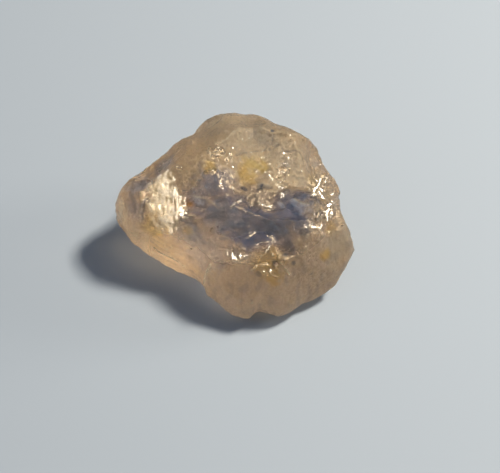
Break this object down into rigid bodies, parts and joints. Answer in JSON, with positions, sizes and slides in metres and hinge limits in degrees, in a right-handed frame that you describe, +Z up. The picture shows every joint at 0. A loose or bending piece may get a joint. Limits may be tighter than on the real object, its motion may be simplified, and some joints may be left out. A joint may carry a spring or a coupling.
{
  "type": "rough topaz",
  "caption": "Rough gemstone: one clear, water-worn and chipped lump with a tapered end, hollow scars, a frosted skin and a flat cleavage face to rest on.",
  "frame": {"origin": "middle of the bottom of the bounding box, on the plane of the flat face that the stone rests on", "axes": "+X along the stone's length, away from its tapered end; +Y across it, towards its thick back; +Z up from the resting face"},
  "size_m": [0.0324, 0.0266, 0.0168],
  "materials": {
    "topaz": "clear, pale champagne, with a finely etched, frosted skin"
  },
  "bodies": {
    "root": {"topaz": "topaz"}
  },
  "joints": []
}
